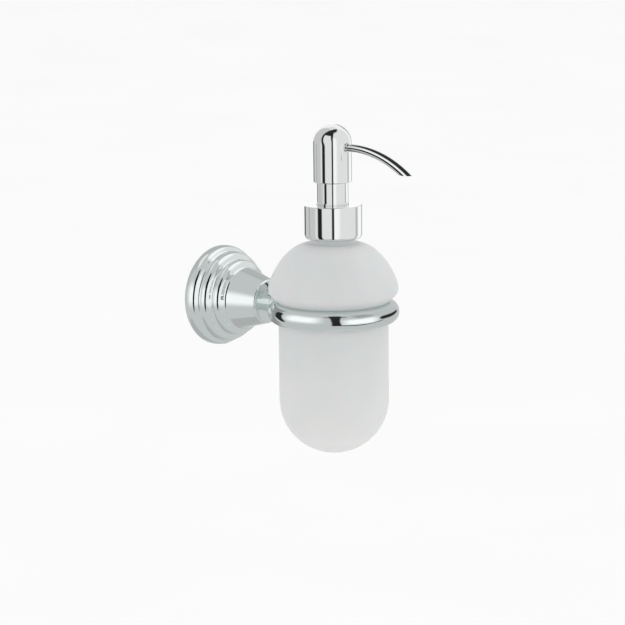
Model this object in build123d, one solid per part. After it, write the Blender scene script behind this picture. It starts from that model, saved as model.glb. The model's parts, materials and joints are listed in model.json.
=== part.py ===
from build123d import *
import os
from math import cos, radians, sin, sqrt

# Wall mounted soap dispenser: a frosted glass bottle hangs by its dome in a
# chrome ring, which a short arm carries from a stepped rose on the wall.
# Millimetres. +Z is up, the wall is the plane Y = 0, and the object stands out
# along -Y. The origin is the centre of the rose's back face.

# ---- Driving dimensions ----
REACH = 92.0                 # wall to the axis of bottle and pump
FIT = 0.2                    # gap between pieces that move past each other

# Holder on the wall. Lengths along the rose's axis are measured from the wall.
ROSE_R = 30.0
ROSE_LENGTH = 42.4
ROSE_END_R = 12.0
WAVE_FULLNESS = 0.38         # reach of a rolled step's curve handles, against its chord
ROSE_BORE_R = 26.2
BRACKET_R = 26.0
BRACKET_PLATE = 3.0
BRACKET_DEPTH = 8.0
BRACKET_HOLE_R = 9.5
WALL_HOLE_SPACING = 30.0
WALL_HOLE_R = 2.3
GRUB_R = 2.0
GRUB_AT = 5.4
GRUB_KEY = 2.0               # across the flats of the hex recess
ARM_R = 6.0
ARM_SCREW_R = 3.0
ARM_SCREW_KEY = 5.0
ROSE_END_WALL = 3.8
WASHER = 1.2

# Ring: flat bore, half-round outside.
RING_BORE_R = 32.5
RING_OUTER_R = 38.45
RING_HALF_HEIGHT = 6.0
RING_DROP = 0.2              # ring's middle below the arm's axis
RING_BORE_BAND = 0.32

# Glass bottle.
GLASS_WALL = 2.8
BODY_R = 32.1
BODY_ROUND_Z = -52.0         # centre of the round bottom
DOME_R = 38.0
DOME_LIP_R = 5.46
DOME_LIP_Z = 13.56
SHOULDER_Z = 40.1
SHOULDER_R = 14.5
NECK_R = 12.5
NECK_BORE_R = 10.0
LIP_Z = 57.0

# 28 mm closure thread.
THREAD_PITCH = 4.2333
THREAD_TURNS = 1.5
THREAD_START_Z = 46.2
NECK_CREST_R = 13.7
NUT_ROOT_R = 13.95
NUT_CREST_R = 12.75
THREAD_BASE = 1.9
THREAD_TIP = 1.0
THREAD_SINK = 0.3

# Collar and guide sleeve.
COLLAR_R = 17.1
COLLAR_BOTTOM_Z = 43.5
COLLAR_TOP_Z = 63.0
COLLAR_SKIN = 1.5
SLEEVE_R = 9.26
SLEEVE_BORE_R = 8.5
SLEEVE_TOP_Z = 77.0

# Pump, from the neck's lip upwards and downwards.
GASKET = 1.4
FLANGE = 1.5
FLANGE_R = 12.4
CYLINDER_R = 7.5
CYLINDER_BORE_R = 6.0
CYLINDER_FLOOR_Z = 16.0
BALL_ROOM_R = 3.3
INLET_R = 1.7
INLET_SEAT_Z = 8.2
INLET_BALL_R = 2.5
TUBE_R = 3.0
TUBE_BORE_R = 2.1
TUBE_TOP_Z = 6.0
TUBE_END_Z = -76.0
SOCKET_R = 4.6
SOCKET_END_Z = -6.0
STEM_R = 4.0
STEM_BORE_R = 2.0
STEM_FOOT_Z = 44.6
STEM_TOP_Z = 95.0
RUNNING_GAP = 0.05
PISTON_BOTTOM_Z = 46.1
PISTON_TOP_Z = 54.0
OUTLET_SEAT_Z = 88.0
OUTLET_ROOM_R = 2.9
OUTLET_BALL_R = 2.3
SPRING_R = 4.9
SPRING_WIRE_R = 0.45
SPRING_COILS = 7.5

# Head and spout.
HEAD_R = 11.35
HEAD_BORE_R = 9.6
HEAD_BOTTOM_Z = 76.1
HEAD_ROUND_Z = 98.6
HEAD_EDGE_ROUND = 0.6
CORE_BOTTOM_Z = 90.0
CORE_TOP_Z = 101.0
SPOUT_ROOT_R = 2.3
SPOUT_TIP_R = 2.85
SPOUT_WALL = 0.6
SPOUT_Z = 96.9
SPOUT_START = 5.0
SPOUT_STRAIGHT_END = 14.5
SPOUT_BEND_R = 68.3
SPOUT_BEND_DEG = 44.0
SPOUT_TIP_Z = 84.3           # level cut across the tip
BOSS_R = 2.9
BOSS_PROUD = 0.5

FLANGE_Z = LIP_Z + GASKET
FLANGE_TOP_Z = FLANGE_Z + FLANGE
PUMP_AXIS = Pos(0, -REACH, 0)
OUT_OF_WALL = Rot(90, 0, 0)  # turns +Z to -Y, away from the wall


# ---- Ways to make a turned piece, a drilled hole and a thread ----
def turned(outline):
    """Solid of revolution about Z from a closed outline of (radius, height) edges or points."""
    if isinstance(outline, list):
        outline = Polyline(*outline, close=True)
    return revolve(Plane.XZ * make_face(outline), Axis.Z, 360)


def rod(radius, low, high):
    """Round bar about Z between two heights."""
    return Pos(0, 0, low) * Cylinder(radius, high - low, align=(Align.CENTER, Align.CENTER, Align.MIN))


def tube(outer, inner, low, high):
    """Round tube about Z between two heights."""
    return rod(outer, low, high) - rod(inner, low, high)


def hex_socket(across_flats, depth):
    """Hexagonal recess below the plane Z = 0."""
    hexagon = RegularPolygon(across_flats / 2, 6, major_radius=False)
    return extrude(hexagon, -depth)


def thread(root_r, crest_r, start_z):
    """Right-handed thread ridge from its root to its crest, inwards or outwards."""
    step = 1 if crest_r > root_r else -1
    path = Helix(THREAD_PITCH, THREAD_PITCH * THREAD_TURNS, root_r)
    low = root_r - step * THREAD_SINK
    ridge = [
        (low, -THREAD_BASE / 2),
        (crest_r, -THREAD_TIP / 2),
        (crest_r, THREAD_TIP / 2),
        (low, THREAD_BASE / 2),
    ]
    section = Plane.XZ * make_face(Polyline(*ridge, close=True))
    return Pos(0, 0, start_z) * sweep(section, path, is_frenet=True)


# ---- Holder: everything that stays on the wall ----
def wave(knots):
    """Smooth chain of curves through knots (radius, height, degrees that the surface leans inwards)."""
    chain = []
    for (r0, z0, lean0), (r1, z1, lean1) in zip(knots, knots[1:]):
        reach = WAVE_FULLNESS * sqrt((r1 - r0) ** 2 + (z1 - z0) ** 2)
        leave = (r0 - reach * sin(radians(lean0)), z0 + reach * cos(radians(lean0)))
        arrive = (r1 + reach * sin(radians(lean1)), z1 - reach * cos(radians(lean1)))
        chain.append(Bezier((r0, z0), leave, arrive, (r1, z1)))
    return chain


def rose_outline():
    """Rose profile as (radius, distance from the wall): a rim and two rolled steps, then a cone."""
    rim = (ROSE_R, 3.8, 0)
    cone_foot = (18.1, 24.0)
    cone_tip = (13.3, 40.8)
    cone_lean = 16
    steps = [rim, (27.9, 9.2, 62), (26.7, 11.2, -8), (24.5, 15.9, 62), (22.6, 17.7, -8), (20.6, 22.0, 60)]
    outside = [
        Line((ROSE_BORE_R, 0), (28.2, 0)),
        ThreePointArc((28.2, 0), (29.53, 1.7), rim[:2]),
        *wave([*steps, (*cone_foot, cone_lean)]),
        Line(cone_foot, cone_tip),
        ThreePointArc(cone_tip, (12.95, 41.9), (ROSE_END_R, ROSE_LENGTH)),
    ]
    end_z = ROSE_LENGTH - ROSE_END_WALL
    inner_cone_r = 11.3
    inside = [
        (ROSE_END_R, ROSE_LENGTH),
        (ARM_SCREW_R + FIT, ROSE_LENGTH),
        (ARM_SCREW_R + FIT, end_z),
        (inner_cone_r, end_z),
        (15.0, 24.0),
        (15.0, 20.4),
        (19.4, 20.4),
        (19.4, 14.4),
        (23.6, 14.4),
        (23.6, 8.6),
        (ROSE_BORE_R, 8.6),
        (ROSE_BORE_R, 0),
    ]
    return Curve() + outside + [Polyline(*inside)]


def wall_rose():
    shell = OUT_OF_WALL * turned(rose_outline())
    return shell - Pos(0, -GRUB_AT, -ROSE_R - 1) * rod(GRUB_R, 0, ROSE_R - ROSE_BORE_R + 3)


def wall_bracket():
    """Open disc with a grooved rim, held to the wall by two screws."""
    inner_r = BRACKET_R - 3.5
    groove = 1.2
    disc = turned(
        [
            (BRACKET_HOLE_R, 0),
            (BRACKET_R, 0),
            (BRACKET_R, GRUB_AT - groove),
            (BRACKET_R - groove, GRUB_AT),
            (BRACKET_R, GRUB_AT + groove),
            (BRACKET_R, BRACKET_DEPTH),
            (inner_r, BRACKET_DEPTH),
            (inner_r, BRACKET_PLATE),
            (BRACKET_HOLE_R, BRACKET_PLATE),
        ]
    )
    for side in (-1, 1):
        disc -= Pos(side * WALL_HOLE_SPACING / 2, 0, 0) * rod(WALL_HOLE_R, -1, BRACKET_PLATE + 1)
    return OUT_OF_WALL * disc


def rose_grub_screw():
    """Set screw with a cone point, entered from below."""
    tip_r = 0.3
    tip_z = BRACKET_R - 0.9
    head_z = ROSE_R - 0.3
    cone_z = tip_z + GRUB_R - tip_r
    body = turned([(0, tip_z), (tip_r, tip_z), (GRUB_R, cone_z), (GRUB_R, head_z), (0, head_z)])
    body -= Pos(0, 0, head_z) * hex_socket(GRUB_KEY, 1.8)
    return Pos(0, -GRUB_AT, 0) * Rot(180, 0, 0) * body


def ring_fixing_screw():
    """Socket screw inside the rose, entering the arm."""
    head_r = 5.0
    head = 4.0
    seat = ROSE_LENGTH - ROSE_END_WALL - WASHER
    tip = ROSE_LENGTH + 8.6
    screw = rod(ARM_SCREW_R, seat, tip) + rod(head_r, seat - head, seat)
    screw -= Pos(0, 0, seat - head) * Rot(180, 0, 0) * hex_socket(ARM_SCREW_KEY, 2.5)
    return OUT_OF_WALL * screw


def ring_fixing_washer():
    seat = ROSE_LENGTH - ROSE_END_WALL
    return OUT_OF_WALL * tube(6.4, ARM_SCREW_R + FIT, seat - WASHER, seat)


def holder_ring():
    """Band with a flat bore and a half-round outside, about the bottle's axis."""
    top_r = RING_BORE_R + RING_BORE_BAND
    nose = EllipticalCenterArc((top_r, 0), RING_OUTER_R - top_r, RING_HALF_HEIGHT, -90, arc_size=180)
    flat = Polyline(
        (top_r, RING_HALF_HEIGHT),
        (RING_BORE_R, RING_HALF_HEIGHT - 0.3),
        (RING_BORE_R, 0.3 - RING_HALF_HEIGHT),
        (top_r, -RING_HALF_HEIGHT),
    )
    return PUMP_AXIS * Pos(0, 0, -RING_DROP) * turned(Curve() + [nose, flat])


def ring_arm(ring):
    """Stem brazed to the ring, with a threaded hole for the screw from inside the rose."""
    inner_r = RING_BORE_R + 1.5
    thread_end = ROSE_LENGTH + 8.8
    stem = rod(ARM_R, ROSE_LENGTH, REACH - inner_r + 1)
    stem -= rod(ARM_SCREW_R, ROSE_LENGTH - 1, thread_end)
    stem = OUT_OF_WALL * stem
    return stem - PUMP_AXIS * rod(inner_r, -ARM_R - 1, ARM_R + 1) - ring


# ---- Bottle ----
def bottle_outline():
    """Glass wall between its outer and inner surfaces, as (radius, height)."""
    lip_centre_r = DOME_R - DOME_LIP_R
    slope = cos(radians(45))
    seat_r = lip_centre_r + DOME_LIP_R * slope
    seat_z = DOME_LIP_Z - DOME_LIP_R * slope
    waist_z = seat_z - (seat_r - BODY_R)
    inner_body_r = BODY_R - GLASS_WALL
    inner_lip_r = DOME_LIP_R - GLASS_WALL
    inner_seat_r = lip_centre_r + inner_lip_r * slope
    inner_seat_z = DOME_LIP_Z - inner_lip_r * slope
    inner_waist_z = inner_seat_z - (inner_seat_r - inner_body_r)
    neck_round = 2.0
    inner_shoulder_z = SHOULDER_Z - GLASS_WALL
    inner_shoulder_r = SHOULDER_R - 1.5
    inner_dome_r = DOME_R - GLASS_WALL
    lip_round = 0.6
    eighth = 22.5

    def bulge(centre_r, centre_z, radius, degrees):
        angle = radians(degrees)
        return (centre_r + radius * cos(angle), centre_z + radius * sin(angle))

    return Curve() + [
        ThreePointArc((0, BODY_ROUND_Z - BODY_R), bulge(0, BODY_ROUND_Z, BODY_R, -45), (BODY_R, BODY_ROUND_Z)),
        Line((BODY_R, BODY_ROUND_Z), (BODY_R, waist_z)),
        Line((BODY_R, waist_z), (seat_r, seat_z)),
        ThreePointArc(
            (seat_r, seat_z), bulge(lip_centre_r, DOME_LIP_Z, DOME_LIP_R, -eighth), (DOME_R, DOME_LIP_Z)
        ),
        Bezier((DOME_R, DOME_LIP_Z), (DOME_R, 19.6), (27.6, SHOULDER_Z), (SHOULDER_R, SHOULDER_Z)),
        ThreePointArc(
            (SHOULDER_R, SHOULDER_Z),
            bulge(SHOULDER_R, SHOULDER_Z + neck_round, neck_round, -135),
            (NECK_R, SHOULDER_Z + neck_round),
        ),
        Line((NECK_R, SHOULDER_Z + neck_round), (NECK_R, LIP_Z - lip_round)),
        Line((NECK_R, LIP_Z - lip_round), (NECK_R - lip_round, LIP_Z)),
        Line((NECK_R - lip_round, LIP_Z), (NECK_BORE_R, LIP_Z)),
        Line((NECK_BORE_R, LIP_Z), (NECK_BORE_R, SHOULDER_Z)),
        ThreePointArc(
            (NECK_BORE_R, SHOULDER_Z),
            (NECK_BORE_R + 0.9, inner_shoulder_z + 0.9),
            (inner_shoulder_r, inner_shoulder_z),
        ),
        Bezier(
            (inner_shoulder_r, inner_shoulder_z),
            (26.0, inner_shoulder_z),
            (inner_dome_r, 18.6),
            (inner_dome_r, DOME_LIP_Z),
        ),
        ThreePointArc(
            (inner_dome_r, DOME_LIP_Z),
            bulge(lip_centre_r, DOME_LIP_Z, inner_lip_r, -eighth),
            (inner_seat_r, inner_seat_z),
        ),
        Line((inner_seat_r, inner_seat_z), (inner_body_r, inner_waist_z)),
        Line((inner_body_r, inner_waist_z), (inner_body_r, BODY_ROUND_Z)),
        ThreePointArc(
            (inner_body_r, BODY_ROUND_Z),
            bulge(0, BODY_ROUND_Z, inner_body_r, -45),
            (0, BODY_ROUND_Z - inner_body_r),
        ),
        Line((0, BODY_ROUND_Z - inner_body_r), (0, BODY_ROUND_Z - BODY_R)),
    ]


def bottle():
    glass = turned(bottle_outline()) + thread(NECK_R, NECK_CREST_R, THREAD_START_Z)
    return PUMP_AXIS * glass


# ---- Collar, which screws on the neck ----
def pump_collar():
    top_hole_r = SLEEVE_R + FIT
    inner_r = COLLAR_R - COLLAR_SKIN
    top_z = COLLAR_TOP_Z - 1.0
    round_width = 1.4
    round_height = 2.6
    round_centre = (COLLAR_R - round_width, COLLAR_BOTTOM_Z + round_height)
    top_round = 0.4
    outline = Curve() + [
        Line((inner_r, COLLAR_BOTTOM_Z), (COLLAR_R - round_width, COLLAR_BOTTOM_Z)),
        EllipticalCenterArc(round_centre, round_width, round_height, -90, arc_size=90),
        Line((COLLAR_R, COLLAR_BOTTOM_Z + round_height), (COLLAR_R, COLLAR_TOP_Z - top_round)),
        RadiusArc((COLLAR_R, COLLAR_TOP_Z - top_round), (COLLAR_R - top_round, COLLAR_TOP_Z), -top_round),
        Line((COLLAR_R - top_round, COLLAR_TOP_Z), (top_hole_r, COLLAR_TOP_Z)),
        Line((top_hole_r, COLLAR_TOP_Z), (top_hole_r, top_z)),
        Line((top_hole_r, top_z), (inner_r, top_z)),
        Line((inner_r, top_z), (inner_r, COLLAR_BOTTOM_Z)),
    ]
    return PUMP_AXIS * turned(outline)


def collar_nut():
    """Threaded plastic lining pressed into the collar."""
    outer_r = COLLAR_R - COLLAR_SKIN
    low = COLLAR_BOTTOM_Z + 0.6
    top = COLLAR_TOP_Z - 1.0
    plate_z = FLANGE_TOP_Z + 1.0
    nut = tube(outer_r, NUT_ROOT_R, low, plate_z) + tube(outer_r, SLEEVE_R + FIT, plate_z, top)
    ridge = thread(NUT_ROOT_R, NUT_CREST_R, THREAD_START_Z + THREAD_PITCH / 2)
    return PUMP_AXIS * (nut + ridge)


# ---- Pump: what rises with the collar but doesn't turn ----
def neck_gasket():
    return PUMP_AXIS * tube(NECK_R - 0.3, NECK_BORE_R, LIP_Z, FLANGE_Z)


def pump_housing():
    """Flanged cylinder that narrows to the inlet valve's seat and the dip tube's socket."""
    seat_top_z = INLET_SEAT_Z + BALL_ROOM_R - INLET_R
    return PUMP_AXIS * turned(
        [
            (INLET_R, TUBE_TOP_Z),
            (TUBE_R, TUBE_TOP_Z),
            (TUBE_R, SOCKET_END_Z),
            (SOCKET_R, SOCKET_END_Z),
            (SOCKET_R, INLET_SEAT_Z),
            (CYLINDER_R, INLET_SEAT_Z + 4),
            (CYLINDER_R, FLANGE_Z),
            (FLANGE_R, FLANGE_Z),
            (FLANGE_R, FLANGE_TOP_Z),
            (CYLINDER_BORE_R, FLANGE_TOP_Z),
            (CYLINDER_BORE_R, CYLINDER_FLOOR_Z),
            (BALL_ROOM_R, CYLINDER_FLOOR_Z),
            (BALL_ROOM_R, seat_top_z),
            (INLET_R, INLET_SEAT_Z),
        ]
    )


def housing_cap():
    """Plug in the cylinder's mouth that guides the stem and carries the sleeve."""
    bore_r = STEM_R + RUNNING_GAP
    plug = tube(CYLINDER_BORE_R, bore_r, PISTON_TOP_Z + 2.2, FLANGE_TOP_Z)
    return PUMP_AXIS * (plug + tube(SLEEVE_BORE_R, bore_r, FLANGE_TOP_Z, SLEEVE_TOP_Z - 1))


def guide_sleeve():
    flange = tube(FLANGE_R, SLEEVE_BORE_R, FLANGE_TOP_Z, FLANGE_TOP_Z + 0.9)
    return PUMP_AXIS * (flange + tube(SLEEVE_R, SLEEVE_BORE_R, FLANGE_TOP_Z, SLEEVE_TOP_Z))


def return_spring():
    height = STEM_FOOT_Z - CYLINDER_FLOOR_Z - 2 * SPRING_WIRE_R
    path = Helix(height / SPRING_COILS, height, SPRING_R)
    section = Plane(origin=path @ 0, z_dir=path % 0) * Circle(SPRING_WIRE_R)
    return PUMP_AXIS * Pos(0, 0, CYLINDER_FLOOR_Z + SPRING_WIRE_R) * sweep(section, path, is_frenet=True)


def dip_tube():
    """Tube to the bottle's bottom, cut slanting so that it can't seal on the glass."""
    straw = tube(TUBE_R, TUBE_BORE_R, TUBE_END_Z, TUBE_TOP_Z)
    knife = Pos(0, 0, TUBE_END_Z) * Rot(0, 35, 0) * Pos(0, 0, -5) * Box(40, 40, 10)
    return PUMP_AXIS * (straw - knife)


def ball(radius, seat_r, seat_z):
    """Valve ball standing a hair above its seat's edge."""
    lift = sqrt(radius**2 - seat_r**2) + RUNNING_GAP + 0.1
    return PUMP_AXIS * Pos(0, 0, seat_z + lift) * Sphere(radius)


# ---- Plunger and head ----
def piston():
    """Seal with a thin lip at each end, free to turn on the stem."""
    outer_r = CYLINDER_BORE_R - RUNNING_GAP
    bore_r = STEM_R + RUNNING_GAP
    waist_r = outer_r - 0.8
    lip = 1.6
    return PUMP_AXIS * turned(
        [
            (bore_r, PISTON_BOTTOM_Z),
            (outer_r, PISTON_BOTTOM_Z),
            (outer_r, PISTON_BOTTOM_Z + lip),
            (waist_r, PISTON_BOTTOM_Z + 2 * lip),
            (waist_r, PISTON_TOP_Z - 2 * lip),
            (outer_r, PISTON_TOP_Z - lip),
            (outer_r, PISTON_TOP_Z),
            (bore_r, PISTON_TOP_Z),
        ]
    )


def plunger_stem():
    """Hollow stem with a foot and a shoulder around the piston, and the outlet valve's seat."""
    stop_r = 5.2
    foot_top = PISTON_BOTTOM_Z - 0.1
    shoulder_low = PISTON_TOP_Z + 0.1
    shoulder_top = PISTON_TOP_Z + 2.0
    room_z = OUTLET_SEAT_Z + OUTLET_ROOM_R - STEM_BORE_R
    return PUMP_AXIS * turned(
        [
            (STEM_BORE_R, STEM_FOOT_Z),
            (stop_r, STEM_FOOT_Z),
            (stop_r, foot_top),
            (STEM_R, foot_top),
            (STEM_R, shoulder_low),
            (stop_r, shoulder_low),
            (stop_r, shoulder_top),
            (STEM_R, shoulder_top),
            (STEM_R, STEM_TOP_Z),
            (OUTLET_ROOM_R, STEM_TOP_Z),
            (OUTLET_ROOM_R, room_z),
            (STEM_BORE_R, OUTLET_SEAT_Z),
        ]
    )


def spout_form(inset):
    """Straight root, then one even downward bend that widens to the tip; inset shrinks it for the bore."""
    root_r = SPOUT_ROOT_R - inset
    tip_r = SPOUT_TIP_R - inset
    root = Pos(0, 0, SPOUT_Z) * Rot(90, 0, 0) * rod(root_r, SPOUT_START, SPOUT_STRAIGHT_END)
    centre = Plane(origin=(0, -SPOUT_STRAIGHT_END, SPOUT_Z - SPOUT_BEND_R), x_dir=(0, 0, 1), z_dir=(1, 0, 0))
    bend = centre * CenterArc((0, 0), SPOUT_BEND_R, 0, SPOUT_BEND_DEG)
    ends = [Plane(origin=bend @ t, z_dir=bend % t) * Circle(r) for t, r in ((0, root_r), (1, tip_r))]
    return root + sweep(ends, bend, multisection=True)


def spout_tube():
    """Thin tube whose tip is cut level with the floor."""
    below_tip = Pos(0, -REACH / 2, SPOUT_TIP_Z) * Box(40, REACH, 20, align=(Align.CENTER, Align.CENTER, Align.MAX))
    return PUMP_AXIS * (spout_form(0) - spout_form(SPOUT_WALL) - below_tip)


def head_cavity(radius):
    return rod(radius, HEAD_BOTTOM_Z - 1, HEAD_ROUND_Z) + Pos(0, 0, HEAD_ROUND_Z) * Sphere(radius)


def spout_hole():
    return Pos(0, 0, SPOUT_Z) * Rot(90, 0, 0) * rod(SPOUT_ROOT_R, SPOUT_START, HEAD_R + 5)


def pump_head():
    """Thimble-shaped cover with a small boss round the spout."""
    shell = rod(HEAD_R, HEAD_BOTTOM_Z, HEAD_ROUND_Z)
    shell = fillet(shell.edges().sort_by(Axis.Z)[0], HEAD_EDGE_ROUND)
    shell += Pos(0, 0, HEAD_ROUND_Z) * Sphere(HEAD_R)
    boss = Pos(0, 0, SPOUT_Z) * Rot(90, 0, 0) * rod(BOSS_R, HEAD_BORE_R, HEAD_R + BOSS_PROUD)
    return PUMP_AXIS * (shell + boss - head_cavity(HEAD_BORE_R) - spout_hole())


def actuator_core():
    """Plastic filling of the head that leads the soap from the stem to the spout."""
    band = Pos(0, 0, CORE_BOTTOM_Z) * Box(
        30, 30, CORE_TOP_Z - CORE_BOTTOM_Z, align=(Align.CENTER, Align.CENTER, Align.MIN)
    )
    core = head_cavity(HEAD_BORE_R) & band
    core -= rod(STEM_R, CORE_BOTTOM_Z - 1, STEM_TOP_Z)
    core -= rod(STEM_BORE_R, STEM_TOP_Z - 1, SPOUT_Z)
    passage_r = SPOUT_ROOT_R - SPOUT_WALL
    core -= Pos(0, 0, SPOUT_Z) * Rot(90, 0, 0) * rod(passage_r, -STEM_BORE_R, SPOUT_START + 1)
    return PUMP_AXIS * (core - spout_hole())


def all_parts():
    ring = holder_ring()
    return {
        "wall_bracket": wall_bracket(),
        "wall_rose": wall_rose(),
        "rose_grub_screw": rose_grub_screw(),
        "ring_fixing_screw": ring_fixing_screw(),
        "ring_fixing_washer": ring_fixing_washer(),
        "ring_arm": ring_arm(ring),
        "holder_ring": ring,
        "bottle": bottle(),
        "pump_collar": pump_collar(),
        "collar_nut": collar_nut(),
        "neck_gasket": neck_gasket(),
        "pump_housing": pump_housing(),
        "housing_cap": housing_cap(),
        "guide_sleeve": guide_sleeve(),
        "return_spring": return_spring(),
        "dip_tube": dip_tube(),
        "inlet_ball": ball(INLET_BALL_R, INLET_R, INLET_SEAT_Z),
        "outlet_ball": ball(OUTLET_BALL_R, STEM_BORE_R, OUTLET_SEAT_Z),
        "piston": piston(),
        "plunger_stem": plunger_stem(),
        "actuator_core": actuator_core(),
        "pump_head": pump_head(),
        "spout_tube": spout_tube(),
    }


os.makedirs("parts", exist_ok=True)
for name, shape in all_parts().items():
    export_step(shape, f"parts/{name}.step")
    print(name, "solids", len(shape.solids()), "volume", round(shape.volume, 1), "valid", shape.is_valid)
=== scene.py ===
import bpy
import json
from math import cos, pi, radians, sin
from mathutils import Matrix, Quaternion, Vector


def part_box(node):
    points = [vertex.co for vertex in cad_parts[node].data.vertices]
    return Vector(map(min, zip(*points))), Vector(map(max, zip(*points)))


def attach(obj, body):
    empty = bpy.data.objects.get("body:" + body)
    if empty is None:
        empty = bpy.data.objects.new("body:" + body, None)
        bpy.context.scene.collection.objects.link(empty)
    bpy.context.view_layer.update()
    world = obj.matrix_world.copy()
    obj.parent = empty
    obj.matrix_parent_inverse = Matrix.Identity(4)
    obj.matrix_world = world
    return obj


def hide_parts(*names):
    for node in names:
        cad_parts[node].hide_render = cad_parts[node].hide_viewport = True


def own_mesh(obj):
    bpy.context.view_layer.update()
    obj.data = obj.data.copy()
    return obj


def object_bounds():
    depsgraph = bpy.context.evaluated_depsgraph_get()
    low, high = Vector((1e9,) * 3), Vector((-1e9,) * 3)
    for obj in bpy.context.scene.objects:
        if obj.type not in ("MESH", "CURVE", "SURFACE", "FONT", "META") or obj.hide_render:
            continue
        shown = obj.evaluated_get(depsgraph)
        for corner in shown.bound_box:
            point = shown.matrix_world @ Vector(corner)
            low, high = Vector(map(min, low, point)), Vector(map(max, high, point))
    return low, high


# Wall mounted soap dispenser, in metres, in the CAD model's frame.
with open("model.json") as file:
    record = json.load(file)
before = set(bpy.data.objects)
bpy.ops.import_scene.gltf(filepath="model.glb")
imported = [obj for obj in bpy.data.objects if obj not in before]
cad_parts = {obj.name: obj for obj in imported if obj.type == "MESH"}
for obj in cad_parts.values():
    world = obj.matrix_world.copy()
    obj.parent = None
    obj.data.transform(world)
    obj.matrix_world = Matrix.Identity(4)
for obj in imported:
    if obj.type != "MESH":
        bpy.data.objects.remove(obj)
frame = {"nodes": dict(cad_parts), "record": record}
cad_low, cad_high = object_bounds()
nodes = frame["nodes"]
MM = 0.001

# ---- Places, from the frame ----
ring_low, ring_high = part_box("holder_ring")
PUMP_AXIS = Vector(((ring_low.x + ring_high.x) / 2, (ring_low.y + ring_high.y) / 2, 0))


# ---- Materials ----
# A noise texture's values mostly lie in this span.
NOISE_LOW = 0.3
NOISE_HIGH = 0.7
CLOUD_SHARE = 0.3


def grey(value):
    """Linear colour of a display grey from 0 to 255."""
    v = value / 255
    return v / 12.92 if v <= 0.04045 else ((v + 0.055) / 1.055) ** 2.4


class Surface:
    """A Principled material with helpers for procedural detail."""

    def __init__(self, name, **sockets):
        self.material = bpy.data.materials.new(name)
        self.material.use_nodes = True
        self.tree = self.material.node_tree
        self.shader = self.tree.nodes["Principled BSDF"]
        self.place = self.tree.nodes.new("ShaderNodeTexCoord").outputs["Object"]
        for socket, value in sockets.items():
            self.shader.inputs[socket.replace("_", " ")].default_value = value

    def noise(self, scale, detail=3.0, stretch=(1, 1, 1)):
        """Cloudy values about 0.5, scale in blobs per metre."""
        mapping = self.tree.nodes.new("ShaderNodeMapping")
        mapping.inputs["Scale"].default_value = stretch
        texture = self.tree.nodes.new("ShaderNodeTexNoise")
        texture.inputs["Scale"].default_value = scale
        texture.inputs["Detail"].default_value = detail
        self.tree.links.new(self.place, mapping.inputs["Vector"])
        self.tree.links.new(mapping.outputs["Vector"], texture.inputs["Vector"])
        return texture.outputs["Fac"]

    def rise(self, values, low, high):
        """A ramp up the Z axis from low to high, in metres, with some of values mixed in."""
        split = self.tree.nodes.new("ShaderNodeSeparateXYZ")
        ramp = self.tree.nodes.new("ShaderNodeMapRange")
        ramp.inputs["From Min"].default_value = low
        ramp.inputs["From Max"].default_value = high
        ramp.inputs["To Min"].default_value = 0.25
        ramp.inputs["To Max"].default_value = 0.75
        mixed = self.tree.nodes.new("ShaderNodeMix")
        mixed.inputs["Factor"].default_value = CLOUD_SHARE
        self.tree.links.new(self.place, split.inputs["Vector"])
        self.tree.links.new(split.outputs["Z"], ramp.inputs["Value"])
        self.tree.links.new(ramp.outputs["Result"], mixed.inputs["A"])
        self.tree.links.new(values, mixed.inputs["B"])
        return mixed.outputs["Result"]

    def vary(self, socket, values, low, high):
        """The socket follows values, from low to high."""
        spread = self.tree.nodes.new("ShaderNodeMapRange")
        spread.inputs["From Min"].default_value = NOISE_LOW
        spread.inputs["From Max"].default_value = NOISE_HIGH
        spread.inputs["To Min"].default_value = low
        spread.inputs["To Max"].default_value = high
        self.tree.links.new(values, spread.inputs["Value"])
        self.tree.links.new(spread.outputs["Result"], self.shader.inputs[socket])
        return self

    def tint(self, values, dark, light):
        """The colour follows values, between two colours."""
        ramp = self.tree.nodes.new("ShaderNodeValToRGB")
        ramp.color_ramp.elements[0].position = NOISE_LOW
        ramp.color_ramp.elements[1].position = NOISE_HIGH
        ramp.color_ramp.elements[0].color = (*dark, 1)
        ramp.color_ramp.elements[1].color = (*light, 1)
        self.tree.links.new(values, ramp.inputs["Fac"])
        self.tree.links.new(ramp.outputs["Color"], self.shader.inputs["Base Color"])
        return self

    def bump(self, values, depth, strength=1.0):
        """Relief that follows values, depth in metres."""
        node = self.tree.nodes.new("ShaderNodeBump")
        node.inputs["Strength"].default_value = strength
        node.inputs["Distance"].default_value = depth
        self.tree.links.new(values, node.inputs["Height"])
        self.tree.links.new(node.outputs["Normal"], self.shader.inputs["Normal"])
        return self


def chrome(name, dark, light):
    surface = Surface(name, Metallic=1.0)
    surface.tint(surface.noise(60), dark, light)
    surface.vary("Roughness", surface.noise(140, 5), 0.025, 0.055)
    return surface.material


# Heights between which the glass goes from its pale bottom to its greyer top: painted shade, lighter
# low down where more light falls and darker up towards the ring.
GLASS_PAINTED_SHADE_LEAST_Z = -75 * MM
GLASS_PAINTED_SHADE_MOST_Z = -15 * MM


def frosted_glass():
    surface = Surface("frosted_glass", IOR=1.45, Subsurface_Weight=0.5, Subsurface_Scale=3 * MM)
    # Painted light: a faint even glow that lightens the glass and its shaded creases, in place of
    # light scattered through the bottle.
    surface.shader.inputs["Emission Color"].default_value = (0.97, 1.0, 1.0, 1)
    surface.shader.inputs["Emission Strength"].default_value = 0.12
    # Painted shade: a ramp that greys the glass towards the top, with the frost's cloudy tone mixed
    # in.
    frost_cloud_and_painted_shade = surface.rise(surface.noise(45), GLASS_PAINTED_SHADE_LEAST_Z, GLASS_PAINTED_SHADE_MOST_Z)
    surface.tint(frost_cloud_and_painted_shade, (0.640, 0.642, 0.636), (0.545, 0.558, 0.559))
    surface.vary("Roughness", surface.noise(900, 4), 0.42, 0.55)
    surface.bump(surface.noise(4200, 2), 0.03 * MM, 0.25)
    return surface.material


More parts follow.
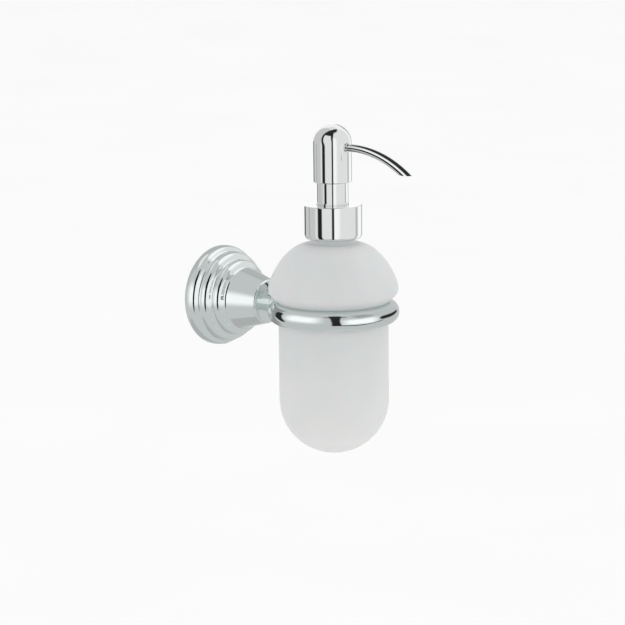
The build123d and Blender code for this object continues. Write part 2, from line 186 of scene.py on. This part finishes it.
def plain(name, dark, light, rough, metallic=0.0):
    surface = Surface(name, Metallic=metallic)
    surface.tint(surface.noise(120), dark, light)
    surface.vary("Roughness", surface.noise(400, 4), rough, rough + 0.12)
    surface.bump(surface.noise(1500, 3), 0.04 * MM, 0.3)
    return surface.material


finishes = {
    "chrome": chrome("chrome_plate", (0.800, 0.818, 0.812), (0.818, 0.832, 0.826)),
    "frosted_glass": frosted_glass(),
    "steel": plain("steel", (0.50, 0.50, 0.51), (0.60, 0.60, 0.61), 0.25, 1.0),
    "zinc": plain("zinc_casting", (0.42, 0.43, 0.45), (0.52, 0.53, 0.55), 0.45, 1.0),
    "white_plastic": plain("white_moulding", (0.80, 0.80, 0.79), (0.85, 0.85, 0.84), 0.35),
    "clear_plastic": plain("clear_tube", (0.78, 0.79, 0.80), (0.84, 0.85, 0.86), 0.2),
    "seal": plain("seal_rubber", (0.60, 0.60, 0.59), (0.68, 0.68, 0.67), 0.6),
}
for part in frame["record"]["subparts"]:
    node = nodes[part["node"]]
    node.data.materials.clear()
    node.data.materials.append(finishes[part["material_slot"]])

# The holder's chrome is tinted greener than the pump's: a painted reflection of the grey-green cast
# that its chrome mirrors.
chrome_painted_green_reflection = chrome("chrome_plate_painted_green_reflection", (0.764, 0.820, 0.812), (0.782, 0.836, 0.828))
for name in ("wall_rose", "ring_arm", "holder_ring"):
    nodes[name].data.materials[0] = chrome_painted_green_reflection


# ---- Return spring, a coil of round wire built in place of the CAD spring ----
SPRING_WIRE_R = 0.45 * MM
SPRING_TURNS = 7.5
RINGS_PER_TURN = 40
WIRE_SIDES = 12


def coil_height(turn, rise):
    """Height of the wire's middle after some turns; the coils at both ends lie flat."""
    closed = 2.1 * SPRING_WIRE_R
    if turn < 1:
        return closed * turn
    if turn > SPRING_TURNS - 1:
        return rise - closed * (SPRING_TURNS - turn)
    return closed + (rise - 2 * closed) * (turn - 1) / (SPRING_TURNS - 2)


def coil_spring(name, low, high):
    """A coil of round wire with closed ends that fills the box from low to high."""
    rise = high.z - low.z - 2 * SPRING_WIRE_R
    radius = (high.x - low.x) / 2 - SPRING_WIRE_R
    rings = round(SPRING_TURNS * RINGS_PER_TURN)
    vertices = []
    for ring in range(rings + 1):
        turn = ring / RINGS_PER_TURN
        outward = Vector((cos(2 * pi * turn), sin(2 * pi * turn), 0))
        middle = PUMP_AXIS + outward * radius
        middle.z = low.z + SPRING_WIRE_R + coil_height(turn, rise)
        for side in range(WIRE_SIDES):
            angle = 2 * pi * side / WIRE_SIDES
            upward = Vector((0, 0, sin(angle) * SPRING_WIRE_R))
            vertices.append(middle + outward * cos(angle) * SPRING_WIRE_R + upward)
    faces = []
    for ring in range(rings):
        for side in range(WIRE_SIDES):
            beside = (side + 1) % WIRE_SIDES
            a, b = ring * WIRE_SIDES, (ring + 1) * WIRE_SIDES
            faces.append((a + side, a + beside, b + beside, b + side))
    faces.append(tuple(reversed(range(WIRE_SIDES))))
    faces.append(tuple(rings * WIRE_SIDES + side for side in range(WIRE_SIDES)))
    mesh = bpy.data.meshes.new(name)
    mesh.from_pydata(vertices, [], faces)
    mesh.polygons.foreach_set("use_smooth", [len(face) == 4 for face in faces])
    mesh.materials.append(finishes["steel"])
    spring = bpy.data.objects.new(name, mesh)
    bpy.context.scene.collection.objects.link(spring)
    return spring


spring_low, spring_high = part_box("return_spring")
spring = coil_spring("compressing_spring", spring_low, spring_high)
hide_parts("return_spring")
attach(spring, "pump")
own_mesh(spring)


# ---- Studio ----
VIEW_AZIMUTH = -49.62
VIEW_ELEVATION = 10.78
CHROME_REFLECTS = 0.82
DOME_COLUMNS = 360
DOME_ROWS = 180


def direction(azimuth, elevation):
    """Unit vector; azimuth 0 is -Y, the front of the wall, and 90 is +X."""
    a, e = radians(azimuth), radians(elevation)
    return Vector((sin(a) * cos(e), -cos(a) * cos(e), sin(e)))


def soft_step(x):
    x = min(max(x, 0.0), 1.0)
    return x * x * (3 - 2 * x)


def apart(a, b):
    """Signed difference of two azimuths, from -180 to 180."""
    return (a - b + 180) % 360 - 180


def panel(azimuth, elevation, az0, az1, el0, el1, soft):
    """How much of a direction a rectangular panel covers, from 0 to 1."""
    half = (az1 - az0) / 2
    side = soft_step((half - abs(apart(azimuth, az0 + half))) / soft + 0.5)
    height = min(soft_step((elevation - el0) / soft + 0.5), soft_step((el1 - elevation) / soft + 0.5))
    return side * height


def flag(azimuth, elevation, path, soft):
    """How much of a direction a strip covers that runs through points (azimuth, elevation, width)."""
    squeeze = cos(radians(elevation))
    deepest = -180.0
    for (az0, el0, wide0), (az1, el1, wide1) in zip(path, path[1:]):
        run = Vector((apart(az1, az0) * squeeze, el1 - el0))
        here = Vector((apart(azimuth, az0) * squeeze, elevation - el0))
        along = min(max(here.dot(run) / run.length_squared, 0.0), 1.0)
        wide = wide0 + (wide1 - wide0) * along
        deepest = max(deepest, wide / 2 - (here - run * along).length)
    return soft_step(deepest / soft + 0.5)


def studio_dome(name, background, cards, receivers, radius):
    """A dome round the object, seen only in the mirror finish of the receivers.

    Cards are ("panel", grey, azimuth from, to, elevation from, to, softness) or
    ("flag", grey, [(azimuth, elevation, width), ...], softness), in degrees; azimuths count
    from the camera's side. Grey is what the chrome shows when it mirrors the card."""
    shapes = {"panel": panel, "flag": flag}
    vertices, levels = [], []
    for row in range(DOME_ROWS + 1):
        elevation = -90 + 180 * row / DOME_ROWS
        for column in range(DOME_COLUMNS):
            azimuth = 360 * column / DOME_COLUMNS
            vertices.append(direction(azimuth + VIEW_AZIMUTH, elevation) * radius)
            level = grey(background)
            for shape, shade, *card in cards:
                level += (grey(shade) - level) * shapes[shape](azimuth, elevation, *card)
            levels.append(level / CHROME_REFLECTS)
    faces = []
    for row in range(DOME_ROWS):
        for column in range(DOME_COLUMNS):
            beside = (column + 1) % DOME_COLUMNS
            a, b = row * DOME_COLUMNS, (row + 1) * DOME_COLUMNS
            faces.append((a + column, a + beside, b + beside, b + column))
    mesh = bpy.data.meshes.new(name)
    mesh.from_pydata(vertices, [], faces)
    colours = mesh.color_attributes.new("light", "FLOAT_COLOR", "POINT")
    for entry, level in zip(colours.data, levels):
        entry.color = (level, level, level, 1)
    material = bpy.data.materials.new(name)
    material.use_nodes = True
    material.cycles.emission_sampling = "NONE"
    tree = material.node_tree
    tree.nodes.clear()
    light = tree.nodes.new("ShaderNodeVertexColor")
    light.layer_name = "light"
    emission = tree.nodes.new("ShaderNodeEmission")
    clear = tree.nodes.new("ShaderNodeBsdfTransparent")
    both = tree.nodes.new("ShaderNodeAddShader")
    out = tree.nodes.new("ShaderNodeOutputMaterial")
    tree.links.new(light.outputs["Color"], emission.inputs["Color"])
    tree.links.new(emission.outputs[0], both.inputs[0])
    tree.links.new(clear.outputs[0], both.inputs[1])
    tree.links.new(both.outputs[0], out.inputs["Surface"])
    mesh.materials.append(material)
    dome = bpy.data.objects.new(name, mesh)
    dome.location = PUMP_AXIS
    bpy.context.scene.collection.objects.link(dome)
    dome.visible_camera = dome.visible_diffuse = dome.visible_transmission = False
    dome.visible_shadow = dome.visible_volume_scatter = False
    group = bpy.data.collections.new(name + "_receivers")
    for receiver in receivers:
        group.objects.link(receiver)
    dome.light_linking.receiver_collection = group


PUMP_CARDS = [
    ("panel", 120, -180, 180, -91, -40, 14),
    ("panel", 241, 126, 212, -20, 62, 12),
    ("panel", 195, -142, -72, -40, 84, 10),
    ("panel", 243, 2, 27, -40, 34, 16),
    ("panel", 180, 101, 114, -40, -2, 4),
    ("panel", 247, 117, 144, -40, -2, 5),
    ("panel", 175, 148, 174, -40, 30, 6),
    ("panel", 60, -144, -132, -40, 0, 4),
    ("panel", 165, -107, -101, -40, -2, 5),
    (
        "flag",
        34,
        [(-52, -60, 18), (-52, -9, 18), (-55, 1, 15), (-61, 12, 13)]
        + [(-66, 28, 13), (-68, 44, 12), (-62, 58, 14)],
        4,
    ),
    ("flag", 34, [(1, -60, 9), (1, 16, 9), (-1, 30, 11), (0, 50, 13), (0, 66, 18)], 3),
    ("panel", 36, -72, 8, 49, 91, 6),
    ("panel", 42, -72, 124, 67, 91, 8),
]
SPOUT_CARDS = [
    ("panel", 42, -180, 180, 50, 91, 8),
    ("panel", 244, -84, -40, 12, 44, 10),
    ("flag", 16, [(-104, -7, 29), (-60, -3, 26)], 4),
    ("panel", 240, 20, 82, -35, 42, 20),
    ("flag", 40, [(100, -50, 12), (100, 42, 14)], 4),
    ("panel", 238, 124, 190, -35, 42, 24),
    ("panel", 120, -180, 180, -91, -64, 14),
]
RING_CARDS = [
    ("panel", 252, -92, -28, -10, 42, 34),
    ("panel", 254, 18, 80, -26, 22, 30),
    ("panel", 160, 44, 84, 30, 60, 14),
    (
        "flag",
        66,
        [(0, -34, 7), (22, -34, 8), (45, -36, 9), (62, -32, 8), (78, -26, 6), (94, -16, 5)],
        4,
    ),
    ("flag", 38, [(5, -27, 16), (4, -5, 15), (3, 14, 15), (3, 40, 16), (3, 60, 18)], 3),
    ("flag", 60, [(-20, 52, 6), (0, 50, 8), (26, 54, 6)], 4),
    ("flag", 40, [(98, 2, 22), (115, 1, 18), (132, 1, 12), (142, 1, 8)], 5),
    ("panel", 140, -182, -124, -34, 40, 10),
    ("flag", 40, [(-104, -17, 14), (-112, 0, 21), (-117, 20, 18)], 5),
]
ROSE_CARDS = [
    ("panel", 248, -80, -30, -16, 24, 24),
    ("panel", 240, -8, 60, -16, 30, 12),
    ("panel", 218, 60, 156, 12, 52, 12),
    ("panel", 246, 52, 158, 44, 91, 14),
    ("panel", 176, -200, -100, 8, 56, 10),
    ("panel", 230, -152, -84, 52, 66, 6),
    ("panel", 172, -200, -88, -78, -38, 10),
    (
        "flag",
        20,
        [(-21, -27, 10), (-21, -15, 26), (-20, 0, 28), (-20, 15, 30), (-19, 30, 34), (-17, 46, 24)],
        3,
    ),
]
pump_chrome = [nodes[n] for n in ("pump_collar", "guide_sleeve", "pump_head")]
ring_chrome = [nodes["holder_ring"]]
spout_chrome = [nodes["spout_tube"]]
others = [o for o in nodes.values() if o not in pump_chrome + ring_chrome + spout_chrome]
others.append(spring)

# Name, background grey, cards, receivers, radius in metres.
studio_dome("pump_dome", 221, PUMP_CARDS, pump_chrome, 6.0)
studio_dome("spout_dome", 186, SPOUT_CARDS, spout_chrome, 6.1)
studio_dome("ring_dome", 188, RING_CARDS, ring_chrome, 6.2)
studio_dome("rose_dome", 193, ROSE_CARDS, others, 6.4)

# The world gives even light, a little stronger from the right and from below, and nothing to
# the mirror finish, which sees the domes.
EVEN_LIGHT = 0.98
LIGHT_FROM_RIGHT = 0.09
LIGHT_FROM_BELOW = 0.04
world = bpy.data.worlds.new("studio")
bpy.context.scene.world = world
world.use_nodes = True
tree = world.node_tree
tree.nodes.clear()
paths = tree.nodes.new("ShaderNodeLightPath")
mirrored = tree.nodes.new("ShaderNodeMath")
mirrored.operation = "MULTIPLY"
even = tree.nodes.new("ShaderNodeBackground")
even.inputs["Color"].default_value = (1, 1, 1, 1)
side = tree.nodes.new("ShaderNodeVectorMath")
side.operation = "DOT_PRODUCT"
rightwards = direction(VIEW_AZIMUTH + 90, 0)
side.inputs[1].default_value = rightwards * LIGHT_FROM_RIGHT - Vector((0, 0, LIGHT_FROM_BELOW))
strength = tree.nodes.new("ShaderNodeMath")
strength.inputs[1].default_value = EVEN_LIGHT
seen = tree.nodes.new("ShaderNodeMath")
seen.operation = "MAXIMUM"
place = tree.nodes.new("ShaderNodeTexCoord")
tree.links.new(place.outputs["Generated"], side.inputs[0])
tree.links.new(side.outputs["Value"], strength.inputs[0])
tree.links.new(strength.outputs[0], seen.inputs[0])
tree.links.new(paths.outputs["Is Camera Ray"], seen.inputs[1])
tree.links.new(seen.outputs[0], even.inputs["Strength"])
black = tree.nodes.new("ShaderNodeBackground")
black.inputs["Color"].default_value = (0, 0, 0, 1)
choose = tree.nodes.new("ShaderNodeMixShader")
out = tree.nodes.new("ShaderNodeOutputWorld")
tree.links.new(paths.outputs["Is Glossy Ray"], mirrored.inputs[0])
tree.links.new(paths.outputs["Is Reflection Ray"], mirrored.inputs[1])
tree.links.new(mirrored.outputs[0], choose.inputs["Fac"])
tree.links.new(even.outputs[0], choose.inputs[1])
tree.links.new(black.outputs[0], choose.inputs[2])
tree.links.new(choose.outputs[0], out.inputs["Surface"])

FLOOR_DROP = 0.4
FLOOR_SIZE = 30
floor_mesh = bpy.data.meshes.new("floor")
half = FLOOR_SIZE / 2
floor_corners = [(-half, -half, 0), (half, -half, 0), (half, half, 0), (-half, half, 0)]
floor_mesh.from_pydata(floor_corners, [], [(0, 1, 2, 3)])
floor_surface = Surface("pale_floor", Roughness=0.9)
floor_surface.tint(floor_surface.noise(3), (0.93, 0.93, 0.93), (0.95, 0.95, 0.95))
floor_surface.shader.inputs["Emission Color"].default_value = (1, 1, 1, 1)
floor_surface.shader.inputs["Emission Strength"].default_value = 0.1
floor_mesh.materials.append(floor_surface.material)
floor = bpy.data.objects.new("floor", floor_mesh)
floor.location.z = cad_low.z - FLOOR_DROP
floor.visible_glossy = False
bpy.context.scene.collection.objects.link(floor)

# ---- Camera, at the photograph's angle ----
AIM = Vector((7.18, -69.8, -4.62)) * MM
DISTANCE = 1.70
ROLL = -0.59
LENS = 165.78
SENSOR_WIDTH = 36
camera_data = bpy.data.cameras.new("camera")
camera_data.lens = LENS
camera_data.sensor_width = SENSOR_WIDTH
camera = bpy.data.objects.new("camera", camera_data)
back = direction(VIEW_AZIMUTH, VIEW_ELEVATION)
camera.location = AIM + back * DISTANCE
camera.rotation_mode = "QUATERNION"
camera.rotation_quaternion = (-back).to_track_quat("-Z", "Y") @ Quaternion((0, 0, 1), radians(ROLL))
bpy.context.scene.collection.objects.link(camera)
bpy.context.scene.camera = camera
bpy.context.scene.view_settings.view_transform = "Standard"
